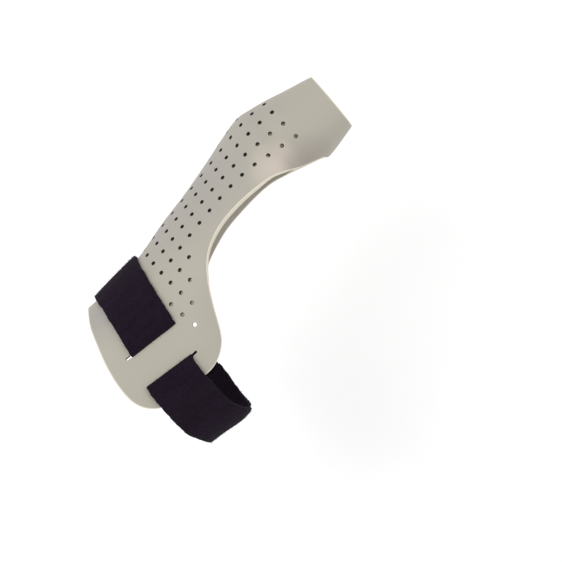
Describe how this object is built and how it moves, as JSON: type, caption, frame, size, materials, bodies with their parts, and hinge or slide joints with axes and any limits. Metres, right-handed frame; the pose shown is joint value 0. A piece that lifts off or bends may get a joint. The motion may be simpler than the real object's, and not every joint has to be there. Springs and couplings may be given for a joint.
{
  "type": "thumb spica splint",
  "caption": "Moulded perforated thumb spica splint: wrist plate with slits, gutter along the thumb's base and a thumb tube, held by one loop-pile wrist strap.",
  "frame": {"origin": "middle of the wrist that the loop goes round, on its axis half way along the strap", "axes": "+X along the forearm towards the thumb's tip, +Y to the thumb's side of the wrist, +Z to the back of the hand"},
  "size_m": [0.1373, 0.0995, 0.0542],
  "materials": {
    "splinting_plastic": "matte grey-beige low-temperature thermoplastic, slightly orange-peeled from moulding",
    "loop_pile": "black brushed loop pile with a faint purple cast and fuzzy edges",
    "hook_tape": "black moulded hook tape"
  },
  "bodies": {
    "root": {"splint_shell": "splinting_plastic", "wrist_strap": "loop_pile", "hook_tab": "hook_tape"}
  },
  "joints": []
}
